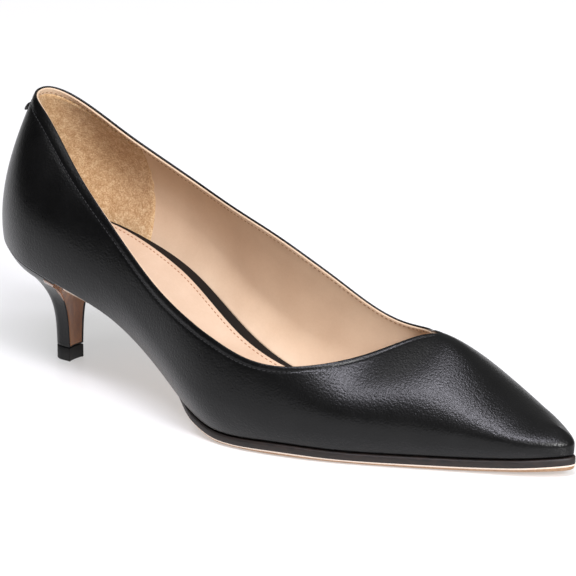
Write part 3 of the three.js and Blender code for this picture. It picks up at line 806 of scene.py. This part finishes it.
for ring, surface in ((sole_rings[0], 0), (sole_rings[-1], 2)):
    more_points, more_faces = sheet(ring[:half_count], ring[::-1][:half_count], SOLE_ACROSS, len(points))
    points += more_points
    faces += more_faces
    slots += [surface] * len(more_faces)
make_piece("outsole_leather", points, faces, [EDGE_PAINT, BEVEL, SOLE_LEATHER], slots, node="outsole")

# %% [markdown]
# The heel is a plastic core in a leather wrap. From above each section is a D: round behind
# and nearly flat at the breast. The table gives what is left of the way from the heel tip's
# section to the seat's: for the breast, the back, the width and the roundness.

# %% Sections of the heel
HEEL_COLUMNS = ("down", "breast", "back", "width", "blend")
HEEL_ROWS = np.array([
    (0.00, 1.000, 1.000, 1.000, 1.00),
    (0.06, 0.850, 0.880, 0.930, 0.96),
    (0.12, 0.700, 0.765, 0.830, 0.90),
    (0.18, 0.560, 0.645, 0.690, 0.80),
    (0.24, 0.420, 0.530, 0.550, 0.70),
    (0.30, 0.290, 0.420, 0.420, 0.58),
    (0.36, 0.180, 0.320, 0.310, 0.45),
    (0.43, 0.090, 0.225, 0.205, 0.30),
    (0.50, 0.027, 0.145, 0.127, 0.18),
    (0.58, 0.005, 0.075, 0.078, 0.08),
    (0.70, 0.000, 0.022, 0.038, 0.00),
    (0.84, 0.000, 0.003, 0.015, 0.00),
    (1.00, 0.000, 0.000, 0.000, 0.00),
])
heel_at = {name: spline(HEEL_ROWS[:, 0], HEEL_ROWS[:, i]) for i, name in enumerate(HEEL_COLUMNS)}
HEEL_STEPS = 36
BREAST_STEPS = 12
WRAP_LIP = 0.25


def heel_section(down, shrink=0.0):
    """Plan points of one D, from the lateral corner round the back, then across the breast."""
    breast_share, back_share, width_share, blend = (float(heel_at[k](down)) for k in HEEL_COLUMNS[1:])
    back_x = (TIP_BREAST_AT - TIP_LENGTH) * (1 - back_share) + shrink
    breast_x = TIP_BREAST_AT + (BREAST_AT - TIP_BREAST_AT) * breast_share - shrink
    seat_open = closing(BREAST_AT / LAST_LENGTH)
    sweep = np.linspace(1, -1, 2 * HEEL_STEPS + 1)
    share = sweep ** 2
    which = np.where(sweep >= 0, -1.0, 1.0)
    seat_t = BREAST_AT * share / LAST_LENGTH
    seat_half = half_breadth(seat_t, which) * closing(seat_t)
    top_half = half_breadth(BREAST_AT / LAST_LENGTH, which) * seat_open
    round_off = np.sqrt(1 - np.clip(1 - share / 0.5, 0, 1) ** 2)
    shape = round_off + (seat_half / top_half - round_off) * blend
    width = (TIP_WIDTH / 2 + (top_half - TIP_WIDTH / 2) * width_share - shrink) * shape
    ring = np.stack([back_x + (breast_x - back_x) * share, which * width], -1)
    left, right = ring[-1, 1], ring[0, 1]
    across = np.linspace(0, 1, BREAST_STEPS + 1)[1:-1]
    bow = 4 * across * (1 - across) * BREAST_HOLLOW * (left - right) + WRAP_LIP
    front = np.stack([breast_x - bow, left + (right - left) * across], -1)
    return np.concatenate([ring, front])


def stand_heel(plan, down):
    """Puts a section at its share of the way down from the slanted seat."""
    foot = TOP_PIECE_HEIGHT + CLEARANCE
    seat = seat_height(plan[:, 0]) - CLEARANCE
    return np.column_stack([plan, seat + (foot - seat) * down])


print("rows of the heel:", len(HEEL_ROWS))

# %% [markdown]
# The wrap is the wall through these sections. It closes over the heel tip, and under the
# seat, where narrow quads fill the D.

# %% Heel
downs = np.concatenate([np.linspace(0, 0.6, 40), np.linspace(0.62, 0.995, 18)])
heel_rings = [stand_heel(heel_section(down), down) for down in downs]
heel_rings.append(stand_heel(heel_section(1.0, 0.25), 1.0))
HEEL_COUNT = len(heel_rings[0])
faces = tube(len(heel_rings), HEEL_COUNT)
faces.append(tuple(range((len(heel_rings) - 1) * HEEL_COUNT, len(heel_rings) * HEEL_COUNT)))
for k in range(HEEL_STEPS):
    last_one = 2 * HEEL_STEPS - k
    faces.append((k, k + 1, last_one - 1, last_one) if k + 1 < HEEL_STEPS else (k, k + 1, last_one))
faces.append((0,) + tuple(range(HEEL_COUNT - 1, 2 * HEEL_STEPS - 1, -1)))
make_piece("heel_cover", np.concatenate(heel_rings), faces, [CALF], node="heel")

# %% [markdown]
# The breast, the front face of the heel, is a strip of the sole's tan leather under clear
# lacquer, let in between the edges of the wrap. At the top it flares out over the heel's
# corners. It mirrors the studio as upright streaks.

# %% Breast
BREAST_FROM = 0.03
BREAST_TO = 0.985
BREAST_INSET = 0.5
BREAST_FLARE = 5.5
FLARE_DEPTH = 0.6
FLARE_STEPS = 8
ACROSS_POINTS = 17


def run_lengths(points):
    """Length of a line up to each of its points."""
    return np.concatenate([[0], np.cumsum(np.linalg.norm(np.diff(points, axis=0), axis=1))])


def round_corner(edge, corner, deep_corner, flare, cover):
    """Points of the strip where it flares out over the heel's side, far end first."""
    lengths = run_lengths(edge)
    outer, inner = [], []
    for share in np.linspace(1, 1 / FLARE_STEPS, FLARE_STEPS):
        spot = np.array([np.interp(flare * share, lengths, edge[:, c]) for c in (0, 1)])
        outward = np.array([0.0, np.sign(edge[0, 1])])
        outer.append(corner + (spot + 0.1 * outward - corner) * cover)
        inner.append(deep_corner + (spot - 0.5 * outward - deep_corner) * cover)
    return outer, inner


breast_front, breast_back = [], []
for down in np.linspace(BREAST_FROM, BREAST_TO, 60):
    plan = heel_section(down)
    lateral, medial = plan[0], plan[2 * HEEL_STEPS]
    flare = BREAST_FLARE * max(0.0, 1 - down / FLARE_DEPTH) ** 1.3
    cover = min(flare, 1.0)
    width = medial[1] - lateral[1]
    margin = BREAST_INSET * (1 - cover) / width
    share = np.linspace(margin, 1 - margin, ACROSS_POINTS)
    edge_fall = np.clip(np.minimum(share - margin, 1 - margin - share) * width / 0.4, 0, 1)
    bow = 4 * share * (1 - share) * BREAST_HOLLOW * width
    proud = (0.12 * np.sqrt(edge_fall) - 0.2) * (1 - cover) + 0.1 * cover
    y = lateral[1] + width * share
    front = list(np.stack([lateral[0] - bow + proud, y], -1))
    back = list(np.stack([lateral[0] - bow - WRAP_LIP - 0.3, y], -1))
    near_outer, near_inner = round_corner(plan[:HEEL_STEPS], front[0], back[0], flare, cover)
    far_outer, far_inner = round_corner(plan[2 * HEEL_STEPS:HEEL_STEPS:-1], front[-1], back[-1], flare, cover)
    breast_front.append(stand_heel(np.array(near_outer + front + far_outer[::-1]), down))
    breast_back.append(stand_heel(np.array(near_inner + back + far_inner[::-1]), down))
points, faces = slab(np.array(breast_front), np.array(breast_back))
make_piece("heel_breast", points, faces, [BREAST])

# %% [markdown]
# The top piece is the small rubber lift that a cobbler replaces. Its lower edge is rounded
# by a quarter of a millimetre.

# %% Top piece
top_rings = []
for z, shrink in ((TOP_PIECE_HEIGHT, 0.2), (TOP_PIECE_HEIGHT - 0.2, 0.0), (0.25, 0.0), (0.0, 0.25)):
    plan = heel_section(1.0, shrink)
    top_rings.append(np.column_stack([plan, np.full(len(plan), z)]))
faces = tube(len(top_rings), HEEL_COUNT, capped=True)
make_piece("top_piece_rubber", np.concatenate(top_rings), faces, [RUBBER], node="top_piece")

# %% [markdown]
# A stitch is a short rod of thread with round ends, half sunk into the leather. One function
# finds even places along any line on the shoe and lays a rod at each of them.


# %% A row of stitches
STITCH_SIDES = 8
STITCH_PROFILE = ((-0.5, 0.25), (-0.42, 0.75), (-0.2, 1.0), (0.2, 1.0), (0.42, 0.75), (0.5, 0.25))


def thread_row(name, path, normals, pitch, length, thickness, material, raised=0.2):
    """A row of stitches along a path; normals point out of the leather."""
    lengths = run_lengths(path)
    at = (np.arange(int(lengths[-1] // pitch)) + 0.5) * pitch

    def sample(values, ahead=0.0):
        return np.stack([np.interp(at + ahead, lengths, values[:, c]) for c in range(3)], -1)

    centres = sample(path)
    ways = sample(path, 0.2) - centres
    ways /= np.linalg.norm(ways, axis=1, keepdims=True)
    ups = sample(normals)
    ups -= (ups * ways).sum(1)[:, None] * ways
    ups /= np.linalg.norm(ups, axis=1, keepdims=True)
    acrosses = np.cross(ups, ways)
    points, faces = [], []
    for centre, way, up, across in zip(centres, ways, ups, acrosses):
        start = len(points)
        for along, fat in STITCH_PROFILE:
            dip = raised * thickness - thickness * 1.2 * along ** 2
            middle = centre + way * along * length + up * dip
            for k in range(STITCH_SIDES):
                turn = 2 * math.pi * k / STITCH_SIDES
                radius = thickness / 2 * fat
                points.append(middle + radius * (math.cos(turn) * across + math.sin(turn) * up))
        faces += tube(len(STITCH_PROFILE), STITCH_SIDES, start, capped=True)
    make_piece(name, np.array(points), faces, [material])


# %% [markdown]
# There are three seams: black thread round the folded edge, brown thread just inside the
# lining's rim, and rose thread round the sock. Each is given its pitch, and the length and
# the thickness of a stitch.

# %% Stitches
LINING_SEAM = 0.9
SOCK_SEAM = 2.2
stitch_row = WALL_ROWS + list(EDGE_ROWS).index(STITCH_FROM_EDGE)
inner_row = WALL_ROWS + list(EDGE_ROWS).index(LINING_SEAM)
seam_order = np.roll(np.arange(COLUMNS), BACK_COLUMNS)[:2 * BACK_COLUMNS + 1]
outer_seam = skin[stitch_row][seam_order]
thread_row("topline_stitches", outer_seam, skin_normals[stitch_row][seam_order], 1.9, 1.5, 0.38, BLACK_THREAD)
inner_seam = (smooth_wall[inner_row] - (WALL + 0.03) * smooth_normals[inner_row])[seam_order]
thread_row("lining_stitches", inner_seam, -smooth_normals[inner_row][seam_order], 1.9, 1.2, 0.3,
           LINING_THREAD, raised=0.1)
sock_seam = on_seat(inset(sock_outline, SOCK_SEAM), SOCK_LIFT + SOCK_THICKNESS)[3:COLUMNS - 2]
upward = np.tile([0.0, 0.0, 1.0], (len(sock_seam), 1))
thread_row("sock_stitches", sock_seam, upward, 2.0, 1.2, 0.45, SOCK_THREAD, raised=0.15)

# %% [markdown]
# A small folded tab of the same leather sits on the back seam just under the collar. Its
# section is a short table of shares of its height and reach, a little smaller at both ends.

# %% Back tab
TAB_WIDTH = 6.0
TAB_HEIGHT = 4.4
TAB_REACH = 2.2
TAB_DROP = 6.0
TAB_SUNK = 0.45
seam_v = np.linspace(float(topline_place(0.0, -1.0)), 1.0, 400)
seam_points = last_point(0.0, seam_v, -1.0)
fallen = seam_points[0, 2] - seam_points[:, 2]
high = seam_points[np.searchsorted(fallen, TAB_DROP)]
foot_of_tab = seam_points[np.searchsorted(fallen, TAB_DROP + TAB_HEIGHT)]
tab_down = (foot_of_tab - high) / np.linalg.norm(foot_of_tab - high)
tab_out = np.array([tab_down[2], 0.0, -tab_down[0]])
tab_shares = np.array([(0.0, 0.2), (0.04, 0.4), (0.18, 0.62), (0.38, 0.8), (0.6, 0.93), (0.76, 1.0),
                       (0.9, 0.99), (0.99, 0.92), (1.0, 0.8), (0.93, 0.6), (0.84, 0.4), (0.75, 0.2)])
tab_section = tab_shares * [TAB_HEIGHT, TAB_REACH]
tab_widths = ((-1.0, 0.82), (-0.92, 0.95), (-0.7, 1.0), (0.7, 1.0), (0.92, 0.95), (1.0, 0.82))
middle_of_tab = tab_section.mean(0)
points = []
for share, size in tab_widths:
    for along, away in middle_of_tab + (tab_section - middle_of_tab) * size:
        spot = high + tab_down * along + tab_out * max(away, TAB_SUNK)
        points.append(spot + np.array([0.0, share * TAB_WIDTH / 2, 0.0]))
faces = tube(len(tab_widths), len(tab_section), capped=True)
make_piece("back_tab_leather", np.array(points), faces, [CALF], node="back_tab")

# %% [markdown]
# The camera stands where the photographer's did: far away with a long lens, a little above
# and in front of the lateral side. Its place comes from fitting the last to the photograph.

# %% Camera
PHOTO_SIZE = 576
VIEW_AZIMUTH = math.radians(39.214)
VIEW_ELEVATION = math.radians(19.217)
VIEW_ROLL = math.radians(-0.418)
VIEW_DISTANCE = 2942.9 * MM
FOCAL_PIXELS = 8060.8
AIM = Vector((111.76, 0.0, 43.60)) * MM
AIM_PIXEL = (299.13, 308.04)


def place_camera():
    """A long lens that looks at the shoe from the photographer's place."""
    back = Vector((math.sin(VIEW_AZIMUTH) * math.cos(VIEW_ELEVATION),
                   -math.cos(VIEW_AZIMUTH) * math.cos(VIEW_ELEVATION), math.sin(VIEW_ELEVATION)))
    level = Vector((0, 0, 1)).cross(back).normalized()
    upright = back.cross(level)
    right = level * math.cos(VIEW_ROLL) + upright * math.sin(VIEW_ROLL)
    up = upright * math.cos(VIEW_ROLL) - level * math.sin(VIEW_ROLL)
    per_pixel = VIEW_DISTANCE / FOCAL_PIXELS
    spot = AIM - right * (AIM_PIXEL[0] - PHOTO_SIZE / 2) * per_pixel
    spot += up * (AIM_PIXEL[1] - PHOTO_SIZE / 2) * per_pixel + back * VIEW_DISTANCE
    data = bpy.data.cameras.new("camera")
    data.sensor_width = 36.0
    data.lens = FOCAL_PIXELS / PHOTO_SIZE * data.sensor_width
    data.clip_end = 20.0
    camera = bpy.data.objects.new("camera", data)
    camera.matrix_world = Matrix((right, up, back)).transposed().to_4x4()
    camera.location = spot
    bpy.context.scene.collection.objects.link(camera)
    bpy.context.scene.camera = camera
    return camera


CAMERA = place_camera()
print("lens", round(CAMERA.data.lens, 1), "mm")

# %% [markdown]
# The shoe stands on white acrylic: pale, and glossy enough to mirror the sole and the heel
# faintly. It glows a little by itself, as a light table does, so it can be a pale grey that
# the black leather mirrors less, and its shadows stay soft.

# %% Floor
FLOOR_REACH = 4.0
FLOOR_DROP = 0.00002


def stage_floor():
    """A wide pale floor just under the shoe, with a little glow of its own."""
    mesh = bpy.data.meshes.new("floor")
    corners = [(x * FLOOR_REACH, y * FLOOR_REACH, 0) for x, y in ((-1, -1), (1, -1), (1, 1), (-1, 1))]
    mesh.from_pydata(corners, [], [(0, 1, 2, 3)])
    floor = bpy.data.objects.new("floor", mesh)
    floor.location.z = -FLOOR_DROP
    mesh.materials.append(new_material("floor_white_acrylic", Roughness=0.15, IOR=1.45,
                                       Base_Color=linear("#cacaca"), Emission_Color=linear("#ffffff"),
                                       Emission_Strength=0.42)[0])
    bpy.context.scene.collection.objects.link(floor)


stage_floor()
print("floor", round(2 * FLOOR_REACH), "m wide")

# %% [markdown]
# Black leather is read by what it mirrors, so each soft box hangs where a highlight looks: a
# long one over the lateral side for the band along the vamp, two small ones that carry it on
# to the toe, one low in front for the tip, and a weak one behind that fills the inside. A row
# has direction, distance, width, height in metres, and brightness.

# %% Soft boxes
COOL_WHITE = "#f4f2ff"
WHITE = "#ffffff"
SOFT_BOXES = (
    ("key_box", (0.19, -0.47, 0.86), 2.6, 1.2, 0.45, 18.0, COOL_WHITE),
    ("top_box", (0.29, -0.17, 0.94), 2.6, 0.45, 0.4, 14.0, COOL_WHITE),
    ("front_box", (0.82, -0.30, 0.5), 2.8, 0.8, 0.8, 34.0, WHITE),
    ("slope_box", (0.42, -0.36, 0.83), 2.6, 0.5, 0.4, 30.0, COOL_WHITE),
    ("fill_box", (-0.3, -0.3, 0.9), 2.8, 0.8, 0.8, 4.0, WHITE),
)
SHOE_MIDDLE = Vector((0.1, 0.0, 0.04))


def soft_box(name, direction, distance, width, height, radiance, colour):
    """A rectangular light that looks at the shoe's middle."""
    data = bpy.data.lights.new(name, "AREA")
    data.shape = "RECTANGLE"
    data.size = width
    data.size_y = height
    data.energy = radiance * math.pi * width * height
    data.color = linear(colour)[:3]
    lamp = bpy.data.objects.new(name, data)
    way = Vector(direction).normalized()
    lamp.location = SHOE_MIDDLE + way * distance
    lamp.rotation_euler = way.to_track_quat("Z", "Y").to_euler()
    bpy.context.scene.collection.objects.link(lamp)


for row in SOFT_BOXES:
    soft_box(*row)
print("soft boxes:", len(SOFT_BOXES))

# %% [markdown]
# The rest of the studio is a dim dome, brightest overhead. Behind the photographer's left
# shoulder it is nearly black, because the heel and the quarter mirror that side.


# %% Studio
DARK_SIDE = (-0.75, -0.66, 0.0)


def studio_world():
    """The dome's strength, from the height and the direction of each ray."""
    world = bpy.data.worlds.new("studio")
    world.use_nodes = True
    tree = world.node_tree
    way = add_node(tree, "TexCoord").outputs["Generated"]
    height = add_node(tree, "SeparateXYZ", {0: way}).outputs["Z"]
    overhead = add_node(tree, "MapRange", {"Value": height, "From Min": 0.1, "From Max": 0.95,
                                           "To Min": 0.2, "To Max": 0.4}, interpolation_type="SMOOTHSTEP")
    behind = add_node(tree, "VectorMath", {0: way, 1: DARK_SIDE}, operation="DOT_PRODUCT")
    shade = add_node(tree, "MapRange", {"Value": behind.outputs["Value"], "From Min": 0.2, "From Max": 0.9,
                                        "To Min": 1.0, "To Max": 0.15}, interpolation_type="SMOOTHSTEP")
    light = add_node(tree, "Math", {0: overhead, 1: shade}, operation="MULTIPLY")
    set_sockets(tree, tree.nodes["Background"], {"Strength": light, "Color": linear("#ffffff")})
    bpy.context.scene.world = world


studio_world()
bpy.context.scene.view_settings.view_transform = "Standard"
print("lights:", len(bpy.data.lights))
